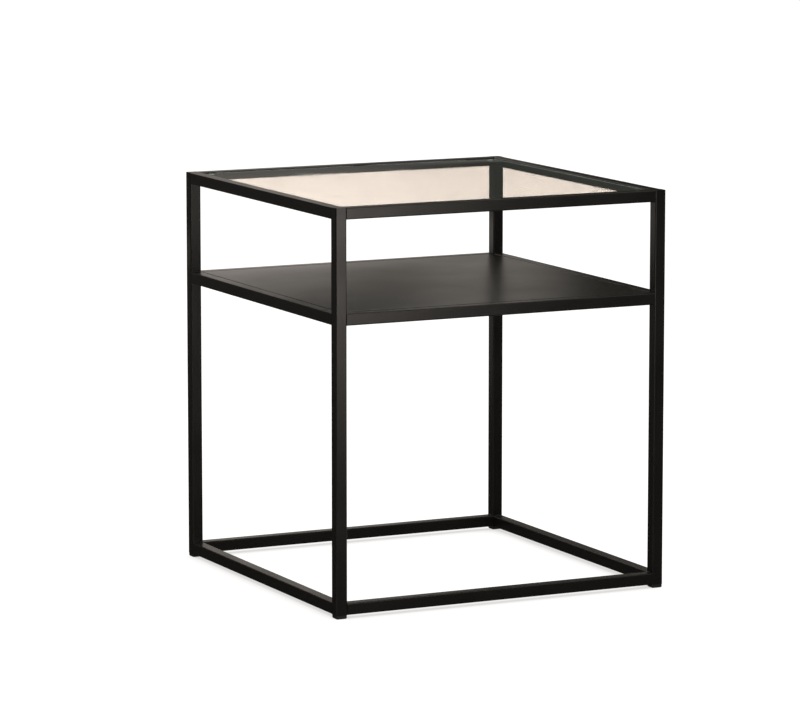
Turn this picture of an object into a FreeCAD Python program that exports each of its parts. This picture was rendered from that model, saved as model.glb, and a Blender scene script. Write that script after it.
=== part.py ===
import FreeCAD, Part
import os

import Sketcher

# End table: a welded frame of square steel tube, a loose glass top and a folded sheet-steel shelf.
# +X runs along the front from left to right, +Y from front to back and +Z up.
# The origin lies on the floor under the middle of the table. Every length is in millimetres.

SIZES = {
    # the whole table
    "table_width": 500,
    "table_depth": 500,
    "table_height": 555,
    "shelf_height": 413,
    # square tube of the legs and rails
    "tube_size": 16,
    "tube_wall": 1.2,
    "tube_corner_radius": 1.5,
    # plates that close the tops of the legs
    "cap_thickness": 2,
    "cap_clearance": 0.1,
    # plastic glides under the legs, with a finned plug up the tube
    "glide_height": 5,
    "glide_inset": 0.3,
    "glide_corner_radius": 1.5,
    "glide_chamfer": 1.2,
    "plug_depth": 16,
    "plug_clearance": 0.15,
    "plug_wall": 1.6,
    "fin_reach": 1.8,
    "fin_thickness": 1,
    # pane of the top
    "glass_thickness": 4,
    "glass_gap": 1,
    "glass_recess": 1.5,
    "glass_corner_radius": 3,
    "glass_arris": 0.6,
    # corner plates and bumpers that the pane rests on
    "plate_leg": 34,
    "plate_tip": 7,
    "plate_thickness": 2.5,
    "bumper_diameter": 9,
    "bumper_thickness": 1.5,
    "bumper_chamfer": 0.6,
    "bumper_inset": 12,
    # folded panel of the shelf
    "panel_gap": 0.6,
    "panel_sheet": 1.2,
    "panel_bend_radius": 1.8,
    "panel_lip": 14,
    "panel_mitre_gap": 0.6,
    # hat-shaped stiffener under the panel
    "stiffener_width": 30,
    "stiffener_flange": 12,
    "stiffener_sheet": 1,
    "stiffener_bend_radius": 1.6,
    "stiffener_rise": 1.3,
    "stiffener_end_gap": 3,
    # lugs that carry the panel, with their screws and weld nuts
    "lug_length": 26,
    "lug_reach": 15,
    "lug_thickness": 2,
    "lug_rise": 2.2,
    "lug_corner_radius": 4,
    "lug_inset": 85,
    "screw_inset": 8,
    "screw_diameter": 4,
    "screw_play": 0.4,
    "screw_head_diameter": 8,
    "screw_head_height": 2.2,
    "screw_head_slope": 1.2,
    "screw_tip": 0.8,
    "recess_length": 4.4,
    "recess_width": 1.1,
    "recess_depth": 1.3,
    "nut_size": 7,
    "nut_height": 2.6,
    "nut_play": 0.1,
}

# How near two coordinates are when they count as the same.
MATCH = 1e-4

FIN_COUNT = 3

# Formulas in the sheet's names that more than one piece follows.
BORE = "(sizes.tube_size - 2 * sizes.tube_wall)"
LEG_X = "(sizes.table_width - sizes.tube_size) / 2"
LEG_Y = "(sizes.table_depth - sizes.tube_size) / 2"
OPENING_X = "(sizes.table_width - 2 * sizes.tube_size)"
OPENING_Y = "(sizes.table_depth - 2 * sizes.tube_size)"
GLASS_UNDERSIDE = "(sizes.table_height - sizes.glass_recess - sizes.glass_thickness)"
PLATE_TOP = f"({GLASS_UNDERSIDE} - sizes.bumper_thickness)"
PANEL_X = f"({OPENING_X} - 2 * sizes.panel_gap)"
PANEL_Y = f"({OPENING_Y} - 2 * sizes.panel_gap)"
PANEL_DROP = "(sizes.tube_size - sizes.lug_rise - sizes.lug_thickness)"
LUG_UNDERSIDE = "(sizes.shelf_height - sizes.tube_size + sizes.lug_rise)"
LUG_TOP = f"({LUG_UNDERSIDE} + sizes.lug_thickness)"
LUG_X = f"({OPENING_X} / 2 - sizes.lug_inset)"
SCREW_Y = f"({OPENING_Y} / 2 - sizes.screw_inset)"
SCREW_HOLE = "(sizes.screw_diameter + sizes.screw_play)"

# Corners in the order that quarter turns about Z bring a front left piece there.
CORNERS = ("front_left", "front_right", "rear_right", "rear_left")

RAIL_LEVELS = {
    "top_rail": "sizes.table_height - sizes.tube_size / 2",
    "shelf_rail": "sizes.shelf_height - sizes.tube_size / 2",
    "base_rail": "sizes.glide_height + sizes.tube_size / 2",
}

X_AXIS = FreeCAD.Vector(1, 0, 0)
Y_AXIS = FreeCAD.Vector(0, 1, 0)
Z_AXIS = FreeCAD.Vector(0, 0, 1)

doc = FreeCAD.newDocument("end_table")
sheet = doc.addObject("Spreadsheet::Sheet", "sizes")
for row, (alias, size) in enumerate(SIZES.items(), start=1):
    sheet.set(f"A{row}", alias)
    sheet.set(f"B{row}", str(size))
    sheet.setAlias(f"B{row}", alias)
doc.recompute()

nodes = []


def value(formula):
    """The present value of a formula in the sheet's names."""
    return float(sheet.evalExpression(formula))


def signs(corner):
    """The signs of X and Y at a corner of the table."""
    sign_x = -1 if corner.endswith("left") else 1
    sign_y = -1 if corner.startswith("front") else 1
    return sign_x, sign_y


def new_body(label):
    """An empty body that becomes a piece of the table."""
    body = doc.addObject("PartDesign::Body", label)
    body.Label = label
    return body


def place(body, x="0", y="0", z="0", axis=Z_AXIS, angle=0):
    """Turn a piece about an axis and bind its position to three formulas."""
    body.Placement = FreeCAD.Placement(FreeCAD.Vector(), FreeCAD.Rotation(axis, angle))
    for direction, formula in (("x", x), ("y", y), ("z", z)):
        body.setExpression(f"Placement.Base.{direction}", formula)


def origin_feature(body, role):
    """One of the planes or axes of a body's own origin."""
    return next(feature for feature in body.Origin.OriginFeatures if feature.Role == role)


def new_sketch(body, name, role="XY_Plane", lift="0"):
    """A sketch on one of the body's planes, lifted off it by a formula."""
    sketch = body.newObject("Sketcher::SketchObject", name)
    sketch.AttachmentSupport = (origin_feature(body, role), [""])
    sketch.MapMode = "FlatFace"
    sketch.setExpression("AttachmentOffset.Base.z", lift)
    return sketch


def bind(sketch, kind, elements, formula):
    """Add a constraint whose size follows a formula."""
    index = sketch.addConstraint(Sketcher.Constraint(kind, *elements, value(formula)))
    sketch.setExpression(f"Constraints[{index}]", formula)


def pin_point(sketch, geometry, end, x, y):
    """Hold a point of a line or circle at two formulas, measured from the sketch's origin."""
    for kind, across, formula in (("DistanceX", -2, x), ("DistanceY", -1, y)):
        if formula == "0":
            sketch.addConstraint(Sketcher.Constraint("PointOnObject", geometry, end, across))
        else:
            bind(sketch, kind, (-1, 1, geometry, end), formula)


def add_outline(sketch, points):
    """A closed outline of straight lines whose corners are pairs of formulas."""
    corners = [FreeCAD.Vector(value(x), value(y), 0) for x, y in points]
    lines = [
        sketch.addGeometry(Part.LineSegment(start, end), False)
        for start, end in zip(corners, corners[1:] + corners[:1])
    ]
    for line, following in zip(lines, lines[1:] + lines[:1]):
        sketch.addConstraint(Sketcher.Constraint("Coincident", line, 2, following, 1))
    for line, (x, y) in zip(lines, points):
        pin_point(sketch, line, 1, x, y)


def add_rectangle(sketch, width, depth):
    """A rectangle about the sketch's origin."""
    ends = [signs(corner) for corner in CORNERS]
    add_outline(sketch, [(f"{x} * {width} / 2", f"{y} * {depth} / 2") for x, y in ends])


def add_circle(sketch, diameter, x="0", y="0"):
    """A circle of a given diameter about a point."""
    centre = FreeCAD.Vector(value(x), value(y), 0)
    circle = sketch.addGeometry(Part.Circle(centre, Z_AXIS, value(diameter) / 2), False)
    bind(sketch, "Diameter", (circle,), diameter)
    pin_point(sketch, circle, 3, x, y)


def pad(body, sketch, length):
    """Raise a sketch into a solid."""
    feature = body.newObject("PartDesign::Pad", "pad")
    feature.Profile = sketch
    feature.setExpression("Length", length)
    doc.recompute()
    return feature


def pocket(body, sketch, depth):
    """Cut a sketch upwards into the solid, and make sure that it met some."""
    before = body.Shape.Volume
    feature = body.newObject("PartDesign::Pocket", "pocket")
    feature.Profile = sketch
    feature.Reversed = True
    feature.setExpression("Length", depth)
    doc.recompute()
    if body.Shape.Volume >= before:
        raise RuntimeError(f"a pocket of {body.Label} cut nothing")


def same(first, second):
    """Whether two coordinates are the same."""
    return abs(first - second) < MATCH


def edges_along(body, axis, places):
    """Edges along axis 0, 1 or 2 whose other two coordinates are one of the places."""
    across = [index for index in range(3) if index != axis]
    names = []
    for number, edge in enumerate(body.Shape.Edges, start=1):
        start, end = edge.Vertexes[0].Point, edge.Vertexes[-1].Point
        for place_pair in places:
            if all(same(start[i], c) and same(end[i], c) for i, c in zip(across, place_pair)):
                names.append(f"Edge{number}")
    return names


def edges_at_height(body, height):
    """Edges that lie level at one height."""
    return [
        f"Edge{number}"
        for number, edge in enumerate(body.Shape.Edges, start=1)
        if same(edge.BoundBox.ZMin, height) and same(edge.BoundBox.ZMax, height)
    ]


def corner_places(width, depth):
    """The four corners of a rectangle about the origin."""
    half_x, half_y = value(width) / 2, value(depth) / 2
    return [(x * half_x, y * half_y) for x in (-1, 1) for y in (-1, 1)]


def round_edges(body, names, radius):
    """Round edges of the solid as it is now."""
    feature = body.newObject("PartDesign::Fillet", "rounding")
    feature.Base = (feature.BaseFeature, names)
    feature.setExpression("Radius", radius)
    doc.recompute()


def chamfer_edges(body, names, size):
    """Break edges of the solid as it is now."""
    feature = body.newObject("PartDesign::Chamfer", "arris")
    feature.Base = (feature.BaseFeature, names)
    feature.setExpression("Size", size)
    doc.recompute()


def square_tube(label, length):
    """A length of rounded square tube along its own Z."""
    body = new_body(label)
    section = new_sketch(body, "section")
    add_rectangle(section, "sizes.tube_size", "sizes.tube_size")
    add_rectangle(section, BORE, BORE)
    pad(body, section, length)
    outside = edges_along(body, 2, corner_places("sizes.tube_size", "sizes.tube_size"))
    round_edges(body, outside, "sizes.tube_corner_radius")
    return body


def make_leg(corner):
    """A leg from its glide to the top of the table."""
    sign_x, sign_y = signs(corner)
    body = square_tube(f"leg_{corner}", "sizes.table_height - sizes.glide_height")
    place(body, f"{sign_x} * {LEG_X}", f"{sign_y} * {LEG_Y}", "sizes.glide_height")
    nodes.append(body)


def make_rails(level, height):
    """The four rails of one level, butted between the legs."""
    for side, sign in (("front", -1), ("rear", 1)):
        body = square_tube(f"{level}_{side}", OPENING_X)
        place(body, f"-1 * {OPENING_X} / 2", f"{sign} * {LEG_Y}", height, Y_AXIS, 90)
        nodes.append(body)
    for side, sign in (("left", -1), ("right", 1)):
        body = square_tube(f"{level}_{side}", OPENING_Y)
        place(body, f"{sign} * {LEG_X}", f"-1 * {OPENING_Y} / 2", height, X_AXIS, -90)
        nodes.append(body)


def make_leg_cap(corner):
    """A plate set flush in the top end of a leg."""
    sign_x, sign_y = signs(corner)
    body = new_body(f"leg_cap_{corner}")
    side = f"({BORE} - 2 * sizes.cap_clearance)"
    outline = new_sketch(body, "outline")
    add_rectangle(outline, side, side)
    pad(body, outline, "sizes.cap_thickness")
    height = "sizes.table_height - sizes.cap_thickness"
    place(body, f"{sign_x} * {LEG_X}", f"{sign_y} * {LEG_Y}", height)
    nodes.append(body)


def make_foot_glide(corner):
    """A glide: a blunt-edged foot below the leg and a hollow plug with fins that grip the tube."""
    sign_x, sign_y = signs(corner)
    body = new_body(f"foot_glide_{corner}")
    foot_side = "(sizes.tube_size - 2 * sizes.glide_inset)"
    foot = new_sketch(body, "foot")
    add_rectangle(foot, foot_side, foot_side)
    pad(body, foot, "sizes.glide_height")
    uprights = edges_along(body, 2, corner_places(foot_side, foot_side))
    round_edges(body, uprights, "sizes.glide_corner_radius")
    chamfer_edges(body, edges_at_height(body, 0), "sizes.glide_chamfer")
    fin_side = f"({BORE} - 2 * sizes.plug_clearance)"
    core_side = f"({fin_side} - 2 * sizes.fin_reach)"
    core = new_sketch(body, "core", lift="sizes.glide_height")
    add_rectangle(core, core_side, core_side)
    pad(body, core, "sizes.plug_depth")
    fin_pitch = f"(sizes.plug_depth / {FIN_COUNT + 1})"
    fin = new_sketch(body, "fin", lift=f"sizes.glide_height + {fin_pitch}")
    add_rectangle(fin, fin_side, fin_side)
    first_fin = pad(body, fin, "sizes.fin_thickness")
    fins = body.newObject("PartDesign::LinearPattern", "fins")
    fins.Originals = [first_fin]
    fins.Direction = (origin_feature(body, "Z_Axis"), [""])
    fins.Occurrences = FIN_COUNT
    fins.setExpression("Length", f"{fin_pitch} * {FIN_COUNT - 1}")
    body.Tip = fins
    doc.recompute()
    hollow = new_sketch(body, "hollow", lift="sizes.glide_height")
    add_circle(hollow, f"({core_side} - 2 * sizes.plug_wall)")
    pocket(body, hollow, "sizes.plug_depth")
    place(body, f"{sign_x} * {LEG_X}", f"{sign_y} * {LEG_Y}")
    nodes.append(body)


def make_glass_plate(corner):
    """A three-cornered plate with blunt tips, welded into a corner of the top frame."""
    sign_x, sign_y = signs(corner)
    body = new_body(f"glass_plate_{corner}")
    outline = new_sketch(body, "outline")
    add_outline(outline, [
        ("0", "0"),
        ("sizes.plate_leg", "0"),
        ("sizes.plate_leg", "sizes.plate_tip"),
        ("sizes.plate_tip", "sizes.plate_leg"),
        ("0", "sizes.plate_leg"),
    ])
    pad(body, outline, "sizes.plate_thickness")
    height = f"{PLATE_TOP} - sizes.plate_thickness"
    turn = 90 * CORNERS.index(corner)
    place(body, f"{sign_x} * {OPENING_X} / 2", f"{sign_y} * {OPENING_Y} / 2", height, angle=turn)
    nodes.append(body)


def make_glass_bumper(corner):
    """A soft dot on a corner plate, under the glass."""
    sign_x, sign_y = signs(corner)
    body = new_body(f"glass_bumper_{corner}")
    outline = new_sketch(body, "outline")
    add_circle(outline, "sizes.bumper_diameter")
    pad(body, outline, "sizes.bumper_thickness")
    rim = edges_at_height(body, value("sizes.bumper_thickness"))
    chamfer_edges(body, rim, "sizes.bumper_chamfer")
    x = f"{sign_x} * ({OPENING_X} / 2 - sizes.bumper_inset)"
    y = f"{sign_y} * ({OPENING_Y} / 2 - sizes.bumper_inset)"
    place(body, x, y, PLATE_TOP)
    nodes.append(body)


def make_glass_top():
    """The pane, with rounded corners and a ground arris along its edges."""
    body = new_body("glass_top")
    width = f"({OPENING_X} - 2 * sizes.glass_gap)"
    depth = f"({OPENING_Y} - 2 * sizes.glass_gap)"
    outline = new_sketch(body, "outline")
    add_rectangle(outline, width, depth)
    pad(body, outline, "sizes.glass_thickness")
    corners = edges_along(body, 2, corner_places(width, depth))
    round_edges(body, corners, "sizes.glass_corner_radius")
    rims = edges_at_height(body, 0) + edges_at_height(body, value("sizes.glass_thickness"))
    chamfer_edges(body, rims, "sizes.glass_arris")
    place(body, z=GLASS_UNDERSIDE)
    nodes.append(body)


def fold_edges(body, width, depth, low, high):
    """The level edges of a box about the Z axis, at its lower and upper heights."""
    half_x, half_y = value(width) / 2, value(depth) / 2
    levels = (value(low), value(high))
    along_x = edges_along(body, 0, [(y, z) for y in (-half_y, half_y) for z in levels])
    along_y = edges_along(body, 1, [(x, z) for x in (-half_x, half_x) for z in levels])
    return along_x + along_y


def make_shelf_panel():
    """The shelf: a sheet folded down on four sides, with lips turned in and mitred underneath."""
    body = new_body("shelf_panel")
    blank = new_sketch(body, "blank")
    add_rectangle(blank, PANEL_X, PANEL_Y)
    pad(body, blank, PANEL_DROP)
    round_edges(body, fold_edges(body, PANEL_X, PANEL_Y, "0", PANEL_DROP), "sizes.panel_bend_radius")

    mouth_x = f"({PANEL_X} - 2 * sizes.panel_lip)"
    mouth_y = f"({PANEL_Y} - 2 * sizes.panel_lip)"
    mouth = new_sketch(body, "mouth")
    add_rectangle(mouth, mouth_x, mouth_y)
    pocket(body, mouth, f"{PANEL_DROP} - sizes.panel_sheet")

    inside_x = f"({PANEL_X} - 2 * sizes.panel_sheet)"
    inside_y = f"({PANEL_Y} - 2 * sizes.panel_sheet)"
    inside_top = f"({PANEL_DROP} - sizes.panel_sheet)"
    inside = new_sketch(body, "inside", lift="sizes.panel_sheet")
    add_rectangle(inside, inside_x, inside_y)
    pocket(body, inside, f"{PANEL_DROP} - 2 * sizes.panel_sheet")
    inner_folds = fold_edges(body, inside_x, inside_y, "sizes.panel_sheet", inside_top)
    inner_radius = "max(sizes.panel_bend_radius - sizes.panel_sheet; sizes.panel_sheet / 4)"
    round_edges(body, inner_folds, inner_radius)

    cuts = new_sketch(body, "mitres_and_holes")
    fold_x = f"({PANEL_X} / 2 - sizes.panel_bend_radius)"
    fold_y = f"({PANEL_Y} / 2 - sizes.panel_bend_radius)"
    for sign_x, sign_y in map(signs, CORNERS):
        add_outline(cuts, [
            (f"{sign_x} * ({mouth_x} / 2 - sizes.panel_mitre_gap)", f"{sign_y} * {mouth_y} / 2"),
            (f"{sign_x} * {mouth_x} / 2", f"{sign_y} * ({mouth_y} / 2 - sizes.panel_mitre_gap)"),
            (f"{sign_x} * {fold_x}", f"{sign_y} * ({fold_y} - sizes.panel_mitre_gap)"),
            (f"{sign_x} * ({fold_x} - sizes.panel_mitre_gap)", f"{sign_y} * {fold_y}"),
        ])
        add_circle(cuts, SCREW_HOLE, f"{sign_x} * {LUG_X}", f"{sign_y} * {SCREW_Y}")
    pocket(body, cuts, "sizes.panel_sheet")
    place(body, z=LUG_TOP)
    nodes.append(body)


def make_shelf_stiffener():
    """A hat-shaped channel across the underside of the shelf, its flanges against the sheet."""
    body = new_body("shelf_stiffener")
    crown = "sizes.stiffener_width / 2"
    sheet_size = "sizes.stiffener_sheet"
    rim = f"({crown} + sizes.stiffener_flange)"
    drop = f"({PANEL_DROP} - sizes.panel_sheet - sizes.stiffener_rise)"
    right_half = [
        (f"{crown} - {sheet_size}", f"{sheet_size} - {drop}"),
        (f"{crown} - {sheet_size}", "0"),
        (rim, "0"),
        (rim, f"-1 * {sheet_size}"),
        (crown, f"-1 * {sheet_size}"),
        (crown, f"-1 * {drop}"),
    ]
    left_half = [(f"-1 * ({y})", z) for y, z in reversed(right_half)]
    section = new_sketch(body, "section", role="YZ_Plane")
    add_outline(section, right_half + left_half)
    length = f"({PANEL_X} - 2 * sizes.panel_lip - 2 * sizes.stiffener_end_gap)"
    pad(body, section, length)
    outer_folds = [right_half[1], right_half[5]]
    inner_folds = [right_half[0], right_half[4]]
    inner_radius = "max(sizes.stiffener_bend_radius - sizes.stiffener_sheet; sizes.stiffener_sheet / 4)"
    for folds, radius in ((outer_folds, "sizes.stiffener_bend_radius"), (inner_folds, inner_radius)):
        places = [(sign * value(y), value(z)) for y, z in folds for sign in (-1, 1)]
        round_edges(body, edges_along(body, 0, places), radius)
    place(body, x=f"-1 * {length} / 2", z="sizes.shelf_height - sizes.panel_sheet")
    nodes.append(body)


def make_shelf_lug(corner):
    """A plate welded to the inner face of the front or rear shelf rail, drilled for a screw."""
    sign_x, sign_y = signs(corner)
    body = new_body(f"shelf_lug_{corner}")
    half = "sizes.lug_length / 2"
    outline = new_sketch(body, "outline")
    add_outline(outline, [
        (f"-1 * {half}", "0"),
        (half, "0"),
        (half, "sizes.lug_reach"),
        (f"-1 * {half}", "sizes.lug_reach"),
    ])
    add_circle(outline, SCREW_HOLE, y="sizes.screw_inset")
    pad(body, outline, "sizes.lug_thickness")
    tips = [(sign * value(half), value("sizes.lug_reach")) for sign in (-1, 1)]
    round_edges(body, edges_along(body, 2, tips), "sizes.lug_corner_radius")
    turn = 0 if corner.startswith("front") else 180
    place(body, f"{sign_x} * {LUG_X}", f"{sign_y} * {OPENING_Y} / 2", LUG_UNDERSIDE, angle=turn)
    nodes.append(body)


def mirrored_set(label, body):
    """A piece at the front left and its mirror images at the other three lugs, as one node."""
    across_x = doc.addObject("Part::Mirroring", f"{label}_front_right")
    across_x.Source = body
    across_x.Normal = X_AXIS
    members = [body, across_x]
    for member in (body, across_x):
        across_y = doc.addObject("Part::Mirroring", f"{label}_rear")
        across_y.Source = member
        across_y.Normal = Y_AXIS
        members.append(across_y)
    group = doc.addObject("Part::Compound", label)
    group.Label = label
    group.Links = members
    nodes.append(group)


def make_shelf_screws():
    """Pan-head screws with a cross recess, put up through the lugs into the weld nuts."""
    body = new_body("shelf_screw")
    shank = "sizes.screw_diameter / 2"
    head = "sizes.screw_head_diameter / 2"
    head_end = "-1 * sizes.screw_head_height"
    shank_end = "sizes.lug_thickness + sizes.panel_sheet + sizes.nut_height + sizes.screw_tip"
    profile = new_sketch(body, "profile", role="XZ_Plane")
    add_outline(profile, [
        ("0", head_end),
        (f"{head} - sizes.screw_head_slope", head_end),
        (head, f"{head_end} + sizes.screw_head_slope"),
        (head, "0"),
        (shank, "0"),
        (shank, shank_end),
        ("0", shank_end),
    ])
    turned = body.newObject("PartDesign::Revolution", "turned")
    turned.Profile = profile
    turned.ReferenceAxis = (profile, ["V_Axis"])
    turned.Angle = 360
    doc.recompute()
    arm = "sizes.recess_length / 2"
    flank = "sizes.recess_width / 2"
    quarter = [(flank, flank), (flank, arm), (f"-1 * {flank}", arm)]
    cross = []
    for _ in range(4):
        cross += quarter
        quarter = [(f"-1 * ({y})", x) for x, y in quarter]
    recess = new_sketch(body, "recess", lift=head_end)
    add_outline(recess, cross)
    pocket(body, recess, "sizes.recess_depth")
    place(body, f"-1 * {LUG_X}", f"-1 * {SCREW_Y}", LUG_UNDERSIDE)
    mirrored_set("shelf_screws", body)


def make_shelf_nuts():
    """Square nuts, welded on the lips of the shelf panel."""
    body = new_body("shelf_nut")
    outline = new_sketch(body, "outline")
    add_rectangle(outline, "sizes.nut_size", "sizes.nut_size")
    add_circle(outline, "sizes.screw_diameter + sizes.nut_play")
    pad(body, outline, "sizes.nut_height")
    place(body, f"-1 * {LUG_X}", f"-1 * {SCREW_Y}", f"{LUG_TOP} + sizes.panel_sheet")
    mirrored_set("shelf_nuts", body)


def check_document():
    """Stop before anything is written if an object failed or a solid isn't sound."""
    doc.recompute()
    for item in doc.Objects:
        if "Invalid" in item.State or "Error" in item.State:
            raise RuntimeError(f"{item.Label} failed: {item.State}")
    for node in nodes:
        if node.Shape.isNull() or not node.Shape.isValid():
            raise RuntimeError(f"{node.Label} has no sound shape")


def write_nodes():
    """Write each piece to its own file and say what it is."""
    os.makedirs("parts", exist_ok=True)
    for node in nodes:
        node.Shape.exportStep(os.path.join("parts", f"{node.Label}.step"))
        solids = len(node.Shape.Solids)
        print(f"{node.Label}: {solids} solid(s), {node.Shape.Volume:.1f} mm3")


for corner in CORNERS:
    make_leg(corner)
    make_leg_cap(corner)
    make_foot_glide(corner)
    make_glass_plate(corner)
    make_glass_bumper(corner)
    make_shelf_lug(corner)
for level, height in RAIL_LEVELS.items():
    make_rails(level, height)
make_glass_top()
make_shelf_panel()
make_shelf_stiffener()
make_shelf_screws()
make_shelf_nuts()
check_document()
write_nodes()
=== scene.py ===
# %% [markdown]
# An end table with a shelf: welded black square tube, a loose pane of glass and a sheet-steel shelf.
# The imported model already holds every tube, plate and screw at its real size, so this lesson dresses it:
# finishes for what is there, the weld marks that only the eye needs, and a white studio with the camera.
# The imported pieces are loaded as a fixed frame, because the weld marks are placed by their boxes.

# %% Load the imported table
import math

import bmesh
import bpy
from mathutils import Matrix, Vector


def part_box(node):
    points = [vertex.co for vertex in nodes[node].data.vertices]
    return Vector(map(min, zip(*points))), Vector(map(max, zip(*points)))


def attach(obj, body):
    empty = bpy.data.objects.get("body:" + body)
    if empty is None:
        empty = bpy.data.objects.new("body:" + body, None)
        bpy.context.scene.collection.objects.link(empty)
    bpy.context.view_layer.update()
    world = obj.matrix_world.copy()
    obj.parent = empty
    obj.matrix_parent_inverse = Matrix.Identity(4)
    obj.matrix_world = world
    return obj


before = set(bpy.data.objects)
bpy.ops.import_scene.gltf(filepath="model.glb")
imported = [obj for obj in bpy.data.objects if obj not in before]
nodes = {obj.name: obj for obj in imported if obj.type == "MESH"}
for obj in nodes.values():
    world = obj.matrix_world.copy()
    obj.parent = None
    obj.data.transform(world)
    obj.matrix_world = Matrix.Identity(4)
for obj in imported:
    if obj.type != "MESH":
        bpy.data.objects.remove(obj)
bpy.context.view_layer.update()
print("packed pieces:", len(nodes))

# %% [markdown]
# A finish is a small program of shader nodes. Setting each node up by hand hides the idea, so a few short
# helpers come first: one adds a node with its settings, one joins pairs of sockets, and two open a node
# group and a material. A group is the shader's version of a function: it is built once and placed in
# several finishes, each with its own values.

# %% Helpers for shader nodes
def add_node(tree, kind, settings=None, values=None):
    """A new node of this kind, with its settings and the values of its unlinked inputs by name."""
    node = tree.nodes.new(kind)
    for name, setting in (settings or {}).items():
        setattr(node, name, setting)
    for name, value in (values or {}).items():
        node.inputs[name].default_value = value
    return node


def join(tree, *pairs):
    """Link each output to the input beside it."""
    for output, entry in pairs:
        tree.links.new(output, entry)


def new_group(name, inputs, outputs):
    """An empty group with number inputs (name to default) and number outputs, and its two ends."""
    tree = bpy.data.node_groups.new(name, "ShaderNodeTree")
    for socket, default in inputs.items():
        made = tree.interface.new_socket(socket, in_out="INPUT", socket_type="NodeSocketFloat")
        made.default_value = default
    for socket in outputs:
        tree.interface.new_socket(socket, in_out="OUTPUT", socket_type="NodeSocketFloat")
    return tree, add_node(tree, "NodeGroupInput"), add_node(tree, "NodeGroupOutput")


def new_finish(name):
    """A new material, its node tree and its Principled shader."""
    finish = bpy.data.materials.new(name)
    finish.use_nodes = True
    return finish, finish.node_tree, finish.node_tree.nodes["Principled BSDF"]


print("node helpers ready")

# %% [markdown]
# Powder coat is paint that is sprayed on dry and melted in an oven. The melt never levels out fully, and
# leaves a skin of soft dimples a millimetre or so across, like the peel of an orange. A noise texture on
# Object coordinates makes them the same size on every tube. A second, much larger noise gives slow clouds,
# because the film is never equally thick.

# %% Group: the skin of a powder coat
def powder_skin_group():
    """Height of the fine dimples, and slow clouds from 0 to 1."""
    tree, start, end = new_group(
        "powder_skin", {"Dimples per metre": 700.0, "Clouds per metre": 12.0}, ["Height", "Clouds"]
    )
    place = add_node(tree, "ShaderNodeTexCoord")
    dimples = add_node(tree, "ShaderNodeTexNoise", values={"Detail": 1.5, "Roughness": 0.45})
    clouds = add_node(tree, "ShaderNodeTexNoise", values={"Detail": 2.0, "Roughness": 0.5})
    join(
        tree,
        (place.outputs["Object"], dimples.inputs["Vector"]),
        (place.outputs["Object"], clouds.inputs["Vector"]),
        (start.outputs["Dimples per metre"], dimples.inputs["Scale"]),
        (start.outputs["Clouds per metre"], clouds.inputs["Scale"]),
        (dimples.outputs["Fac"], end.inputs["Height"]),
        (clouds.outputs["Fac"], end.inputs["Clouds"]),
    )
    return tree


powder_skin = powder_skin_group()
print("group:", powder_skin.name)

# %% [markdown]
# Dust only stays on faces that look up, and never evenly. The group compares the face's normal with the
# vertical and breaks the result up with noise. It only puts out a mask: each finish decides how pale and
# how matt its own dust is.

# %% Group: settled dust
def settled_dust_group():
    """A mask from 0 to 1 of thin dust on faces that look up."""
    tree, start, end = new_group("settled_dust", {"Amount": 0.05, "Specks per metre": 90.0}, ["Mask"])
    place = add_node(tree, "ShaderNodeTexCoord")
    facing = add_node(tree, "ShaderNodeNewGeometry")
    upright = add_node(tree, "ShaderNodeSeparateXYZ")
    level = add_node(tree, "ShaderNodeMapRange", values={"From Min": 0.6, "From Max": 1.0})
    patches = add_node(tree, "ShaderNodeTexNoise", values={"Detail": 5.0, "Roughness": 0.65})
    uneven = add_node(tree, "ShaderNodeMapRange", values={"From Min": 0.42, "From Max": 0.72})
    held = add_node(tree, "ShaderNodeMath", {"operation": "MULTIPLY"})
    mask = add_node(tree, "ShaderNodeMath", {"operation": "MULTIPLY"})
    join(
        tree,
        (facing.outputs["Normal"], upright.inputs["Vector"]),
        (upright.outputs["Z"], level.inputs["Value"]),
        (place.outputs["Object"], patches.inputs["Vector"]),
        (start.outputs["Specks per metre"], patches.inputs["Scale"]),
        (patches.outputs["Fac"], uneven.inputs["Value"]),
        (level.outputs["Result"], held.inputs[0]),
        (uneven.outputs["Result"], held.inputs[1]),
        (held.outputs["Value"], mask.inputs[0]),
        (start.outputs["Amount"], mask.inputs[1]),
        (mask.outputs["Value"], end.inputs["Mask"]),
    )
    return tree


settled_dust = settled_dust_group()
print("group:", settled_dust.name)

# %% [markdown]
# The tubes and the shelf wear the same black coat, but it lies smoother on a wide flat sheet than round the
# edges of a tube, so one function makes the finish and takes the few numbers that differ. Black paint isn't
# zero: a base colour of half a percent still shows the form. Clouds and dust feed colour and roughness, and
# the dimples feed a Bump node, which tilts the shading without moving the surface.

# %% Finish: black powder coat
COAT_BLACK = (0.0042, 0.0039, 0.0033, 1.0)
COAT_THIN_BLACK = (0.0064, 0.0060, 0.0051, 1.0)
DUST_GREY = (0.075, 0.072, 0.067, 1.0)
DUST_MATT = 0.25
DIMPLE_DEPTH = 0.00003


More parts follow.
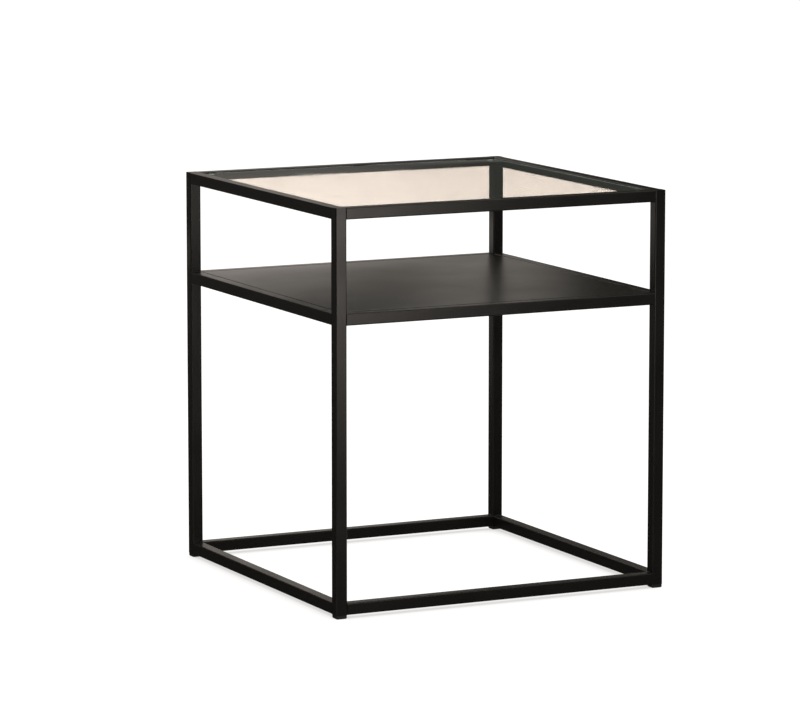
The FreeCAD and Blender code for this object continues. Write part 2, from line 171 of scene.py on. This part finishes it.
def powder_coat_finish(name, sheen_range, dust_amount, dimple_strength):
    """Black satin powder coat whose roughness drifts over sheen_range."""
    finish, tree, shader = new_finish(name)
    skin = add_node(tree, "ShaderNodeGroup", {"node_tree": powder_skin})
    dust = add_node(tree, "ShaderNodeGroup", {"node_tree": settled_dust}, {"Amount": dust_amount})
    paint = add_node(tree, "ShaderNodeValToRGB")
    paint.color_ramp.elements[0].color = COAT_BLACK
    paint.color_ramp.elements[1].color = COAT_THIN_BLACK
    dusted = add_node(tree, "ShaderNodeMix", {"data_type": "RGBA"})
    dusted.inputs["B"].default_value = DUST_GREY
    sheen = add_node(
        tree,
        "ShaderNodeMapRange",
        values={"From Min": 0.3, "From Max": 0.7, "To Min": sheen_range[0], "To Max": sheen_range[1]},
    )
    matt = add_node(tree, "ShaderNodeMath", {"operation": "MULTIPLY_ADD"})
    matt.inputs[1].default_value = DUST_MATT
    bump = add_node(tree, "ShaderNodeBump", values={"Strength": dimple_strength, "Distance": DIMPLE_DEPTH})
    join(
        tree,
        (skin.outputs["Clouds"], paint.inputs["Fac"]),
        (paint.outputs["Color"], dusted.inputs["A"]),
        (dust.outputs["Mask"], dusted.inputs["Factor"]),
        (dusted.outputs["Result"], shader.inputs["Base Color"]),
        (skin.outputs["Clouds"], sheen.inputs["Value"]),
        (dust.outputs["Mask"], matt.inputs[0]),
        (sheen.outputs["Result"], matt.inputs[2]),
        (matt.outputs["Value"], shader.inputs["Roughness"]),
        (skin.outputs["Height"], bump.inputs["Height"]),
        (bump.outputs["Normal"], shader.inputs["Normal"]),
    )
    return finish


tube_coat = powder_coat_finish(
    "tube_powder_coat", sheen_range=(0.29, 0.37), dust_amount=0.03, dimple_strength=0.35
)
sheet_coat = powder_coat_finish(
    "sheet_powder_coat", sheen_range=(0.30, 0.34), dust_amount=0.008, dimple_strength=0.10
)
print("finishes:", tube_coat.name, sheet_coat.name)

# %% [markdown]
# The pane is ordinary clear float glass. It bends light by an index of about 1.52, its faces mirror more
# the flatter they are seen, and iron in the melt makes a long way through it green. Full transmission and
# a volume that absorbs a little red give that. An edge shows light that has bounced along inside the whole
# pane, more often than a render follows, and would turn black. A Light Path node counts the bounces, and a
# ray that has made many of them gets a painted green glow in place of that light. Shadow rays pass straight
# through by another switch, so that the shelf below is lit without the noise of caustics.

# %% Finish: clear glass
GLASS_INDEX = 1.52
GLASS_GREEN = (0.62, 0.90, 0.80, 1.0)
GLASS_ABSORPTION = 5.0
GLASS_SHADOW = (0.86, 0.90, 0.88, 1.0)
GLASS_CLEAR = (1.0, 1.0, 1.0, 1.0)
NO_GLOW = (0.0, 0.0, 0.0, 1.0)
# Painted green glow for rays that have bounced many times inside the pane, standing in for the light they
# would carry.
EDGE_GLOW_GREEN = (0.06, 0.16, 0.125, 1.0)
BOUNCES_FOLLOWED = 5.5


def clear_glass_finish():
    """Clear float glass with faint wipe marks and a painted green glow on its edges, open to shadow rays."""
    finish, tree, shader = new_finish("clear_float_glass")
    shader.inputs["Base Color"].default_value = GLASS_CLEAR
    shader.inputs["Transmission Weight"].default_value = 1.0
    shader.inputs["IOR"].default_value = GLASS_INDEX
    shader.inputs["Emission Strength"].default_value = 1.0
    place = add_node(tree, "ShaderNodeTexCoord")
    wipes = add_node(tree, "ShaderNodeTexNoise", values={"Scale": 9.0, "Detail": 4.0, "Distortion": 1.2})
    haze = add_node(
        tree,
        "ShaderNodeMapRange",
        values={"From Min": 0.52, "From Max": 0.8, "To Min": 0.004, "To Max": 0.05},
    )
    melt = add_node(
        tree, "ShaderNodeVolumeAbsorption", values={"Color": GLASS_GREEN, "Density": GLASS_ABSORPTION}
    )
    path = add_node(tree, "ShaderNodeLightPath")
    caught = add_node(tree, "ShaderNodeMath", {"operation": "GREATER_THAN"})
    caught.inputs[1].default_value = BOUNCES_FOLLOWED
    # The painted green glow goes into the emission colour, only for rays past that bounce count.
    glow = add_node(tree, "ShaderNodeMix", {"data_type": "RGBA"})
    glow.inputs["A"].default_value = NO_GLOW
    glow.inputs["B"].default_value = EDGE_GLOW_GREEN
    clear = add_node(tree, "ShaderNodeBsdfTransparent", values={"Color": GLASS_SHADOW})
    switch = add_node(tree, "ShaderNodeMixShader")
    output = tree.nodes["Material Output"]
    join(
        tree,
        (place.outputs["Object"], wipes.inputs["Vector"]),
        (wipes.outputs["Fac"], haze.inputs["Value"]),
        (haze.outputs["Result"], shader.inputs["Roughness"]),
        (path.outputs["Ray Depth"], caught.inputs[0]),
        (caught.outputs["Value"], glow.inputs["Factor"]),
        (glow.outputs["Result"], shader.inputs["Emission Color"]),
        (path.outputs["Is Shadow Ray"], switch.inputs["Fac"]),
        (shader.outputs["BSDF"], switch.inputs[1]),
        (clear.outputs["BSDF"], switch.inputs[2]),
        (switch.outputs["Shader"], output.inputs["Surface"]),
        (melt.outputs["Volume"], output.inputs["Volume"]),
    )
    return finish


glass = clear_glass_finish()
print("finish:", glass.name)

# %% [markdown]
# The foot glides are moulded from black polyethylene. A mould is often spark-eroded to hide scratches,
# which leaves a fine even grain, so this finish uses a Voronoi texture at about a third of a millimetre
# instead of the soft noise of the paint. The plastic scuffs pale where it rubs on the floor: a mask by
# height does that.

# %% Finish: moulded glide plastic
GLIDE_BLACK = (0.012, 0.012, 0.012, 1.0)
GLIDE_SCUFF = (0.055, 0.053, 0.050, 1.0)
SCUFF_HEIGHT = 0.0012


def glide_plastic_finish():
    """Black moulded plastic with a fine grain, scuffed near the floor."""
    finish, tree, shader = new_finish("glide_plastic")
    place = add_node(tree, "ShaderNodeTexCoord")
    grain = add_node(tree, "ShaderNodeTexVoronoi", values={"Scale": 2800.0})
    height = add_node(tree, "ShaderNodeSeparateXYZ")
    low = add_node(
        tree,
        "ShaderNodeMapRange",
        values={"From Min": 0.0, "From Max": SCUFF_HEIGHT, "To Min": 1.0, "To Max": 0.0},
    )
    streaks = add_node(tree, "ShaderNodeTexNoise", values={"Scale": 450.0, "Detail": 4.0})
    scuffed = add_node(tree, "ShaderNodeMath", {"operation": "MULTIPLY"})
    colour = add_node(tree, "ShaderNodeMix", {"data_type": "RGBA"})
    colour.inputs["A"].default_value = GLIDE_BLACK
    colour.inputs["B"].default_value = GLIDE_SCUFF
    sheen = add_node(tree, "ShaderNodeMapRange", values={"To Min": 0.42, "To Max": 0.62})
    bump = add_node(tree, "ShaderNodeBump", values={"Strength": 0.3, "Distance": 0.00002})
    join(
        tree,
        (place.outputs["Object"], grain.inputs["Vector"]),
        (place.outputs["Object"], streaks.inputs["Vector"]),
        (place.outputs["Object"], height.inputs["Vector"]),
        (height.outputs["Z"], low.inputs["Value"]),
        (low.outputs["Result"], scuffed.inputs[0]),
        (streaks.outputs["Fac"], scuffed.inputs[1]),
        (scuffed.outputs["Value"], colour.inputs["Factor"]),
        (colour.outputs["Result"], shader.inputs["Base Color"]),
        (streaks.outputs["Fac"], sheen.inputs["Value"]),
        (sheen.outputs["Result"], shader.inputs["Roughness"]),
        (grain.outputs["Distance"], bump.inputs["Height"]),
        (bump.outputs["Normal"], shader.inputs["Normal"]),
    )
    return finish


glide_plastic = glide_plastic_finish()
print("finish:", glide_plastic.name)

# %% [markdown]
# The glass rests on four dots of clear silicone. Silicone is softer in look than glass: it scatters, its
# index is only about 1.41, and tiny bubbles and lint make it a little milky. Rough transmission with a
# noise in colour and roughness gives that without any volume.

# %% Finish: clear silicone
SILICONE_INDEX = 1.41
SILICONE_CLEAR = (0.86, 0.87, 0.86, 1.0)
SILICONE_MILKY = (0.95, 0.95, 0.94, 1.0)


def clear_silicone_finish():
    """Milky, slightly uneven clear rubber."""
    finish, tree, shader = new_finish("clear_silicone_dot")
    shader.inputs["Transmission Weight"].default_value = 0.7
    shader.inputs["IOR"].default_value = SILICONE_INDEX
    place = add_node(tree, "ShaderNodeTexCoord")
    milk = add_node(tree, "ShaderNodeTexNoise", values={"Scale": 900.0, "Detail": 3.0})
    cloudy = add_node(tree, "ShaderNodeMapRange", values={"To Min": 0.22, "To Max": 0.48})
    colour = add_node(tree, "ShaderNodeMix", {"data_type": "RGBA"})
    colour.inputs["A"].default_value = SILICONE_CLEAR
    colour.inputs["B"].default_value = SILICONE_MILKY
    join(
        tree,
        (place.outputs["Object"], milk.inputs["Vector"]),
        (milk.outputs["Fac"], cloudy.inputs["Value"]),
        (cloudy.outputs["Result"], shader.inputs["Roughness"]),
        (milk.outputs["Fac"], colour.inputs["Factor"]),
        (colour.outputs["Result"], shader.inputs["Base Color"]),
    )
    return finish


silicone = clear_silicone_finish()
print("finish:", silicone.name)

# %% [markdown]
# The screws below the shelf are zinc plated and blackened. The metal still shows through the thin black
# film, so the finish is a dark metal instead of a paint: Metallic at one, with cloudy colour and roughness
# and very fine scratches from tumbling in the plating drum.

# %% Finish: blackened screw steel
SCREW_DARK = (0.030, 0.030, 0.033, 1.0)
SCREW_RUBBED = (0.110, 0.108, 0.105, 1.0)


def screw_steel_finish():
    """Blackened zinc on steel, rubbed a little brighter in places."""
    finish, tree, shader = new_finish("screw_steel")
    shader.inputs["Metallic"].default_value = 1.0
    place = add_node(tree, "ShaderNodeTexCoord")
    film = add_node(tree, "ShaderNodeTexNoise", values={"Scale": 600.0, "Detail": 4.0, "Roughness": 0.6})
    scratches = add_node(tree, "ShaderNodeTexNoise", values={"Scale": 6000.0, "Detail": 2.0})
    colour = add_node(tree, "ShaderNodeValToRGB")
    colour.color_ramp.elements[0].position = 0.35
    colour.color_ramp.elements[0].color = SCREW_DARK
    colour.color_ramp.elements[1].position = 0.75
    colour.color_ramp.elements[1].color = SCREW_RUBBED
    sheen = add_node(tree, "ShaderNodeMapRange", values={"To Min": 0.48, "To Max": 0.32})
    bump = add_node(tree, "ShaderNodeBump", values={"Strength": 0.2, "Distance": 0.00001})
    join(
        tree,
        (place.outputs["Object"], film.inputs["Vector"]),
        (place.outputs["Object"], scratches.inputs["Vector"]),
        (film.outputs["Fac"], colour.inputs["Fac"]),
        (colour.outputs["Color"], shader.inputs["Base Color"]),
        (film.outputs["Fac"], sheen.inputs["Value"]),
        (sheen.outputs["Result"], shader.inputs["Roughness"]),
        (scratches.outputs["Fac"], bump.inputs["Height"]),
        (bump.outputs["Normal"], shader.inputs["Normal"]),
    )
    return finish


screw_steel = screw_steel_finish()
print("finish:", screw_steel.name)

# %% [markdown]
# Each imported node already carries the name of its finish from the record, so a small table maps that name
# to the new material. Only the material slot changes: the node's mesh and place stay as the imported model
# has them.

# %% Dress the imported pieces
finish_for_slot = {
    "black_powder_coat": tube_coat,
    "clear_glass": glass,
    "black_glide_plastic": glide_plastic,
    "clear_silicone": silicone,
    "black_screw_steel": screw_steel,
}
sheet_pieces = ("shelf_panel", "shelf_stiffener")
for name, piece in nodes.items():
    slot = piece.material_slots[0]
    slot.material = sheet_coat if name in sheet_pieces else finish_for_slot[slot.material.name]
print("dressed pieces:", len(nodes))

# %% [markdown]
# Rails and legs are welded. The outer seams are ground flush, but in the inner corners a thin bead stays
# under the paint. A bead is a quarter of a rippled rod, so it is made as a turner would: half the rod's
# outline is drawn flat, with its ripples, and spun a quarter turn about the corner. The rail's box says
# where each corner is, and a matrix carries the bead there.

# %% Weld beads in the inner corners
BEAD_RADIUS = 0.0011
BEAD_LENGTH = 0.0122
BEAD_RIPPLES = 7
BEAD_RIPPLE_SHARE = 0.12
BEAD_END_POWER = 0.4
POINTS_PER_RIPPLE = 4
BEAD_STEPS = 5
MERGE_DISTANCE = 1e-6


def add_bead(shape, corner, out, away):
    """A bead at the point corner, between a leg's face (normal out) and a rail's face (normal away)."""
    count = BEAD_RIPPLES * POINTS_PER_RIPPLE
    outline = []
    for step in range(count + 1):
        share = step / count
        run_out = math.sin(math.pi * share) ** BEAD_END_POWER
        ripple = 1.0 + BEAD_RIPPLE_SHARE * math.cos(2.0 * math.pi * BEAD_RIPPLES * share)
        along = BEAD_LENGTH * (share - 0.5)
        outline.append(shape.verts.new((BEAD_RADIUS * run_out * ripple, along, 0.0)))
    face = shape.faces.new(outline)
    before = set(shape.verts) - set(outline)
    bmesh.ops.spin(
        shape,
        geom=[face, *face.edges, *outline],
        axis=(0.0, 1.0, 0.0),
        cent=(0.0, 0.0, 0.0),
        angle=math.radians(-90.0),
        steps=BEAD_STEPS,
    )
    seam = Vector(away).cross(Vector(out))
    carry = Matrix((out, seam, away)).transposed().to_4x4()
    carry.translation = corner
    bmesh.ops.transform(shape, matrix=carry, verts=[v for v in shape.verts if v not in before])


def weld_beads(level, up):
    """The beads of the four rails of one level, above them or below them."""
    shape = bmesh.new()
    away = Vector((0.0, 0.0, 1.0 if up else -1.0))
    for side in ("front", "rear", "left", "right"):
        low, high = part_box(f"{level}_rail_{side}")
        middle = (low + high) / 2
        along_x = side in ("front", "rear")
        for sign in (1.0, -1.0):
            corner = middle.copy()
            corner.z = high.z if up else low.z
            corner[0 if along_x else 1] = (low if sign > 0 else high)[0 if along_x else 1]
            out = Vector((sign, 0.0, 0.0)) if along_x else Vector((0.0, sign, 0.0))
            add_bead(shape, corner, out, away)
    bmesh.ops.remove_doubles(shape, verts=shape.verts, dist=MERGE_DISTANCE)
    bmesh.ops.recalc_face_normals(shape, faces=shape.faces)
    for face in shape.faces:
        face.smooth = True
    mesh = bpy.data.meshes.new(f"weld_beads_{level}")
    shape.to_mesh(mesh)
    shape.free()
    mesh.materials.append(tube_coat)
    beads = bpy.data.objects.new(mesh.name, mesh)
    bpy.context.scene.collection.objects.link(beads)
    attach(beads, "frame")
    return beads


for level, up in (("top", False), ("shelf", False), ("base", True)):
    beads = weld_beads(level, up)
    print(beads.name, "faces:", len(beads.data.polygons))

# %% [markdown]
# The stiffener under the shelf is spot-welded: two electrodes squeeze the sheets and leave a shallow round
# dish with a raised rim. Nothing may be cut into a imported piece, so each mark is a thin coin on the lower
# face of a flange: half of its section is a few points, and a full spin makes it round. The marks are
# spread along both flanges in equal steps.

# %% Spot welds under the shelf
SPOT_RADIUS = 0.0033
SPOT_RIM = 0.00022
SPOT_DISH = 0.00006
SPOT_ROOT = 0.0002
SPOT_CREST_SHARE = 0.88
SPOT_DISH_SHARE = 0.74
SPOT_STEPS = 24
SPOTS_PER_FLANGE = 7
SPOT_END_MARGIN = 0.036
FLANGE_THICKNESS = 0.001
FLANGE_WIDTH = 0.012


def add_spot(shape, place):
    """A spot weld that hangs from the point place on the lower face of a flange."""
    section = (
        (0.0, SPOT_ROOT),
        (SPOT_RADIUS, SPOT_ROOT),
        (SPOT_RADIUS, 0.0),
        (SPOT_RADIUS * SPOT_CREST_SHARE, -SPOT_RIM),
        (SPOT_RADIUS * SPOT_DISH_SHARE, -SPOT_DISH),
        (0.0, -SPOT_DISH),
    )
    before = set(shape.verts)
    points = [shape.verts.new((radius, 0.0, height)) for radius, height in section]
    edges = [shape.edges.new(pair) for pair in zip(points, points[1:])]
    bmesh.ops.spin(
        shape,
        geom=points + edges,
        axis=(0.0, 0.0, 1.0),
        cent=(0.0, 0.0, 0.0),
        angle=math.tau,
        steps=SPOT_STEPS,
        use_merge=True,
    )
    bmesh.ops.translate(shape, vec=place, verts=[v for v in shape.verts if v not in before])


def spot_welds():
    """One row of spot welds along each flange of the stiffener."""
    low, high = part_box("shelf_stiffener")
    first = low.x + SPOT_END_MARGIN
    step = (high.x - low.x - 2.0 * SPOT_END_MARGIN) / (SPOTS_PER_FLANGE - 1)
    shape = bmesh.new()
    for y in (low.y + FLANGE_WIDTH / 2, high.y - FLANGE_WIDTH / 2):
        for number in range(SPOTS_PER_FLANGE):
            add_spot(shape, Vector((first + number * step, y, high.z - FLANGE_THICKNESS)))
    bmesh.ops.remove_doubles(shape, verts=shape.verts, dist=MERGE_DISTANCE)
    bmesh.ops.recalc_face_normals(shape, faces=shape.faces)
    mesh = bpy.data.meshes.new("shelf_spot_welds")
    shape.to_mesh(mesh)
    shape.free()
    mesh.materials.append(sheet_coat)
    spots = bpy.data.objects.new(mesh.name, mesh)
    bpy.context.scene.collection.objects.link(spots)
    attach(spots, "frame")
    return spots


shelf_spots = spot_welds()
print(shelf_spots.name, "faces:", len(shelf_spots.data.polygons))

# %% [markdown]
# The camera repeats the photograph's view: a long lens from over six metres away, to the left of the
# front, looking slightly down. The long lens keeps the legs nearly parallel. The place, the two angles and
# the focal length come from matching thirty straight edges of the table with the same edges of the model.

# %% Camera
CAMERA_PLACE = (-2.7456, -5.5481, 1.2363)
CAMERA_TURN = 26.052
CAMERA_TILT = 8.635
SENSOR_WIDTH = 36.0
FOCAL_PIXELS = 4458.3
IMAGE_WIDTH = 800.0

camera_data = bpy.data.cameras.new("table_camera")
camera_data.sensor_fit = "HORIZONTAL"
camera_data.sensor_width = SENSOR_WIDTH
camera_data.lens = FOCAL_PIXELS / IMAGE_WIDTH * SENSOR_WIDTH
camera_data.clip_end = 200.0
camera = bpy.data.objects.new("table_camera", camera_data)
camera.location = CAMERA_PLACE
camera.rotation_euler = (math.radians(90.0 - CAMERA_TILT), 0.0, math.radians(-CAMERA_TURN))
bpy.context.scene.collection.objects.link(camera)
bpy.context.scene.camera = camera
print("focal length in mm:", round(camera_data.lens, 1))

# %% [markdown]
# The studio is a wide floor that glows, as a light table does, so that the black frame stands on clean
# white. An Ambient Occlusion node shades it softly close under the table. Clear glass that is seen this
# flat lets little through, so a warm pool of light lies far behind the table, just where the camera looks
# through the pane. A Light Path node shows the pool only to rays that came through glass.

# %% Floor paint
FLOOR_WHITE = (1.0, 1.0, 1.0, 1.0)
FLOOR_SHADE = (0.60, 0.59, 0.58, 1.0)
FLOOR_PAINT = (0.3, 0.3, 0.3, 1.0)
SHADE_REACH = 0.08
POOL_GLOW = (2.64, 2.25, 1.95, 1.0)
POOL_PLACE = (2.2, 4.5, 0.0)
POOL_INNER_RADIUS = 1.0
POOL_OUTER_RADIUS = 2.6


def glowing_floor_paint():
    """White paint that glows, with a soft shade near the table and a warm pool of light behind it."""
    paint, tree, shader = new_finish("studio_floor_paint")
    shader.inputs["Base Color"].default_value = FLOOR_PAINT
    shader.inputs["Specular IOR Level"].default_value = 0.0
    shader.inputs["Emission Strength"].default_value = 1.0
    near = add_node(tree, "ShaderNodeAmbientOcclusion", {"samples": 16}, {"Distance": SHADE_REACH})
    seen = add_node(tree, "ShaderNodeMix", {"data_type": "RGBA"})
    seen.inputs["A"].default_value = FLOOR_SHADE
    seen.inputs["B"].default_value = FLOOR_WHITE
    place = add_node(tree, "ShaderNodeTexCoord")
    far = add_node(tree, "ShaderNodeVectorMath", {"operation": "DISTANCE"})
    far.inputs[1].default_value = POOL_PLACE
    pool = add_node(
        tree,
        "ShaderNodeMapRange",
        {"interpolation_type": "SMOOTHSTEP"},
        {"From Min": POOL_INNER_RADIUS, "From Max": POOL_OUTER_RADIUS, "To Min": 1.0, "To Max": 0.0},
    )
    path = add_node(tree, "ShaderNodeLightPath")
    through = add_node(tree, "ShaderNodeMath", {"operation": "MULTIPLY"})
    glow = add_node(tree, "ShaderNodeMix", {"data_type": "RGBA"})
    glow.inputs["B"].default_value = POOL_GLOW
    join(
        tree,
        (near.outputs["AO"], seen.inputs["Factor"]),
        (place.outputs["Object"], far.inputs[0]),
        (far.outputs["Value"], pool.inputs["Value"]),
        (pool.outputs["Result"], through.inputs[0]),
        (path.outputs["Is Transmission Ray"], through.inputs[1]),
        (through.outputs["Value"], glow.inputs["Factor"]),
        (seen.outputs["Result"], glow.inputs["A"]),
        (glow.outputs["Result"], shader.inputs["Emission Color"]),
    )
    paint.cycles.emission_sampling = "NONE"
    return paint


floor_paint = glowing_floor_paint()
print("paint:", floor_paint.name)

# %% [markdown]
# The floor itself is one large square. Mirror reflections don't see it at all, which keeps the dark sides of
# the tubes dark.

# %% Floor
FLOOR_HALF_SIZE = 40.0


def white_floor():
    """A wide square on the ground under the table."""
    shape = bmesh.new()
    bmesh.ops.create_grid(shape, x_segments=1, y_segments=1, size=FLOOR_HALF_SIZE)
    mesh = bpy.data.meshes.new("studio_floor")
    shape.to_mesh(mesh)
    shape.free()
    mesh.materials.append(floor_paint)
    floor = bpy.data.objects.new("studio_floor", mesh)
    floor.visible_glossy = False
    bpy.context.scene.collection.objects.link(floor)
    return floor


studio_floor = white_floor()
print(studio_floor.name, "size in metres:", 2 * FLOOR_HALF_SIZE)

# %% [markdown]
# Light for a black object is made of reflections. Every face mirrors one part of the room, so each soft box
# is put where the face that should look lighter mirrors it. One in front lights the front faces near the
# camera. The ones on the right and overhead are for the other sides.

# %% Soft boxes
WARM_WHITE = (1.0, 0.91, 0.84)


def soft_box(name, place, aim, width, height, power):
    """A rectangular area light at place that faces the point aim. The camera doesn't see it."""
    data = bpy.data.lights.new(name, "AREA")
    data.shape = "RECTANGLE"
    data.size = width
    data.size_y = height
    data.energy = power
    data.color = WARM_WHITE
    light = bpy.data.objects.new(name, data)
    light.location = place
    light.rotation_euler = (Vector(aim) - Vector(place)).to_track_quat("-Z", "Y").to_euler()
    light.visible_camera = False
    bpy.context.scene.collection.objects.link(light)
    return light


soft_box("front_box", place=(0.05, -1.25, 0.44), aim=(-0.2, -0.25, 0.42), width=0.45, height=0.5, power=2.6)
soft_box("right_box", place=(1.7, 0.0, 0.6), aim=(0.0, 0.0, 0.3), width=0.9, height=0.9, power=4.0)
soft_box("top_box", place=(0.0, 0.0, 3.0), aim=(0.0, 0.0, 0.0), width=2.5, height=2.5, power=20.0)

# %% [markdown]
# The pane is a clean mirror when it is seen this flat, and would show the hard edge of a soft box. So the
# light behind the table comes from upright panels whose glow fades out at every side: two smooth steps on X
# and two on Z, multiplied. The glow is added to a transparent shader, so panels may overlap.

# %% A glow that fades at its edges
def fading_glow(name, across, upward, strength):
    """A glow that grows over the first two X of across and Z of upward, and dies over the last two."""
    glow = bpy.data.materials.new(name)
    glow.use_nodes = True
    tree = glow.node_tree
    tree.nodes.clear()
    place = add_node(tree, "ShaderNodeTexCoord")
    apart = add_node(tree, "ShaderNodeSeparateXYZ")
    join(tree, (place.outputs["Object"], apart.inputs["Vector"]))
    level = add_node(tree, "ShaderNodeMath", {"operation": "MULTIPLY"})
    level.inputs[0].default_value = strength
    level.inputs[1].default_value = 1.0
    for axis, stops in (("X", across), ("Z", upward)):
        for start, end, before, after in ((stops[0], stops[1], 0.0, 1.0), (stops[2], stops[3], 1.0, 0.0)):
            step = add_node(
                tree,
                "ShaderNodeMapRange",
                {"interpolation_type": "SMOOTHSTEP"},
                {"From Min": start, "From Max": end, "To Min": before, "To Max": after},
            )
            product = add_node(tree, "ShaderNodeMath", {"operation": "MULTIPLY"})
            join(
                tree,
                (apart.outputs[axis], step.inputs["Value"]),
                (level.outputs["Value"], product.inputs[0]),
                (step.outputs["Result"], product.inputs[1]),
            )
            level = product
    light = add_node(tree, "ShaderNodeEmission", values={"Color": (*WARM_WHITE, 1.0)})
    clear = add_node(tree, "ShaderNodeBsdfTransparent")
    both = add_node(tree, "ShaderNodeAddShader")
    output = add_node(tree, "ShaderNodeOutputMaterial")
    join(
        tree,
        (level.outputs["Value"], light.inputs["Strength"]),
        (light.outputs["Emission"], both.inputs[0]),
        (clear.outputs["BSDF"], both.inputs[1]),
        (both.outputs["Shader"], output.inputs["Surface"]),
    )
    return glow


print("glow ready in the colour", WARM_WHITE)

# %% [markdown]
# Each panel is a square that is stretched, stood up and set behind the table. One far behind is for the
# pane, one above it and one below it brush over the rails, a faint one on the left is for the side faces of
# the upper rails, and two close behind light the shelf, the higher one only on the right, so that the shelf
# grows dark towards its near left corner. The last two are turned round the table to its right and left and
# reach below the floor, where the other sides mirror them.

# %% Fading panels round the table
def glow_panel(name, y, across, upward, strength, turn=0.0):
    """A panel at y, with the edges of its glow on X and Z, turned round the table by turn degrees."""
    shape = bmesh.new()
    bmesh.ops.create_grid(shape, x_segments=1, y_segments=1, size=0.5)
    size = Vector((across[-1] - across[0], upward[-1] - upward[0], 1.0))
    middle = Vector(((across[0] + across[-1]) / 2, y, (upward[0] + upward[-1]) / 2))
    bmesh.ops.scale(shape, vec=size, verts=shape.verts)
    bmesh.ops.rotate(shape, matrix=Matrix.Rotation(math.radians(90.0), 3, "X"), verts=shape.verts)
    bmesh.ops.translate(shape, vec=middle, verts=shape.verts)
    mesh = bpy.data.meshes.new(name)
    shape.to_mesh(mesh)
    shape.free()
    mesh.materials.append(fading_glow(name, across, upward, strength))
    panel = bpy.data.objects.new(name, mesh)
    panel.rotation_euler.z = math.radians(turn)
    panel.visible_camera = False
    panel.visible_shadow = False
    panel.visible_transmission = False
    bpy.context.scene.collection.objects.link(panel)
    return panel


glow_panel(
    "rear_glow", y=1.35, across=(-0.45, 0.05, 0.45, 0.80), upward=(0.64, 0.73, 0.85, 1.0), strength=0.17
)
glow_panel(
    "rail_high_glow", y=1.40, across=(-0.45, 0.05, 0.40, 0.66), upward=(0.85, 0.95, 1.30, 1.45), strength=1.3
)
glow_panel(
    "rail_low_glow", y=1.45, across=(-0.45, 0.05, 0.55, 1.05), upward=(0.0, 0.05, 0.35, 0.45), strength=0.8
)
glow_panel(
    "side_glow", y=1.30, across=(-1.5, -1.2, -0.6, -0.4), upward=(0.05, 0.2, 0.5, 0.7), strength=0.045
)
glow_panel(
    "shelf_low_glow",
    y=0.36,
    across=(-0.33, -0.18, -0.08, 0.50),
    upward=(0.40, 0.41, 0.443, 0.463),
    strength=0.74,
)
glow_panel(
    "shelf_high_glow", y=0.64, across=(0.22, 0.42, 0.49, 0.64), upward=(0.51, 0.52, 0.58, 0.61), strength=0.9
)
for name, strength, turn in (("right_glow", 0.8, -64.0), ("left_glow", 0.3, 116.0)):
    glow_panel(
        name,
        y=1.3,
        across=(-0.9, -0.5, 0.5, 0.9),
        upward=(-1.0, -0.7, 0.1, 0.3),
        strength=strength,
        turn=turn,
    )

# %% [markdown]
# The rest of the room is a dim, warm grey, with a soft light high up everywhere but behind the table. The
# shelf and the rails mirror that light when the table is seen from other sides. A camera that looks level
# would see the room above the floor, so for camera rays it is white. The Standard view transform shows
# colours as they are computed, so that the white floor stays white and the black paint stays black.

# %% Dim room
ROOM_LEVEL = 0.038
ROOM_WARM = (1.0, 0.95, 0.84, 1.0)
HIGH_LIGHT_LEVEL = 0.45
HIGH_LIGHT_SIDE = (-0.44, -0.9, 0.0)
HIGH_LIGHT_FADE = (-0.8, -0.5)
HIGH_LIGHT_HEIGHT = (0.25, 0.5)


def dim_room():
    """A dim world with a soft light high up on the front and the sides, white for the camera."""
    room = bpy.data.worlds.new("dim_room")
    room.use_nodes = True
    tree = room.node_tree
    place = add_node(tree, "ShaderNodeTexCoord")
    side = add_node(tree, "ShaderNodeVectorMath", {"operation": "DOT_PRODUCT"})
    side.inputs[1].default_value = HIGH_LIGHT_SIDE
    height = add_node(tree, "ShaderNodeSeparateXYZ")
    soft = {"interpolation_type": "SMOOTHSTEP"}
    front = add_node(
        tree, "ShaderNodeMapRange", soft, {"From Min": HIGH_LIGHT_FADE[0], "From Max": HIGH_LIGHT_FADE[1]}
    )
    high = add_node(
        tree,
        "ShaderNodeMapRange",
        soft,
        {"From Min": HIGH_LIGHT_HEIGHT[0], "From Max": HIGH_LIGHT_HEIGHT[1], "To Max": HIGH_LIGHT_LEVEL},
    )
    sky = add_node(tree, "ShaderNodeMath", {"operation": "MULTIPLY"})
    level = add_node(tree, "ShaderNodeMath", {"operation": "ADD"})
    level.inputs[1].default_value = ROOM_LEVEL
    path = add_node(tree, "ShaderNodeLightPath")
    seen = add_node(tree, "ShaderNodeMix", {"data_type": "FLOAT"})
    seen.inputs["B"].default_value = 1.0
    colour = add_node(tree, "ShaderNodeMix", {"data_type": "RGBA"})
    colour.inputs["A"].default_value = ROOM_WARM
    colour.inputs["B"].default_value = FLOOR_WHITE
    background = tree.nodes["Background"]
    join(
        tree,
        (place.outputs["Generated"], side.inputs[0]),
        (place.outputs["Generated"], height.inputs["Vector"]),
        (side.outputs["Value"], front.inputs["Value"]),
        (height.outputs["Z"], high.inputs["Value"]),
        (front.outputs["Result"], sky.inputs[0]),
        (high.outputs["Result"], sky.inputs[1]),
        (sky.outputs["Value"], level.inputs[0]),
        (path.outputs["Is Camera Ray"], seen.inputs["Factor"]),
        (level.outputs["Value"], seen.inputs["A"]),
        (seen.outputs["Result"], background.inputs["Strength"]),
        (path.outputs["Is Camera Ray"], colour.inputs["Factor"]),
        (colour.outputs["Result"], background.inputs["Color"]),
    )
    return room


bpy.context.scene.world = dim_room()
bpy.context.scene.view_settings.view_transform = "Standard"
print("view transform:", bpy.context.scene.view_settings.view_transform)
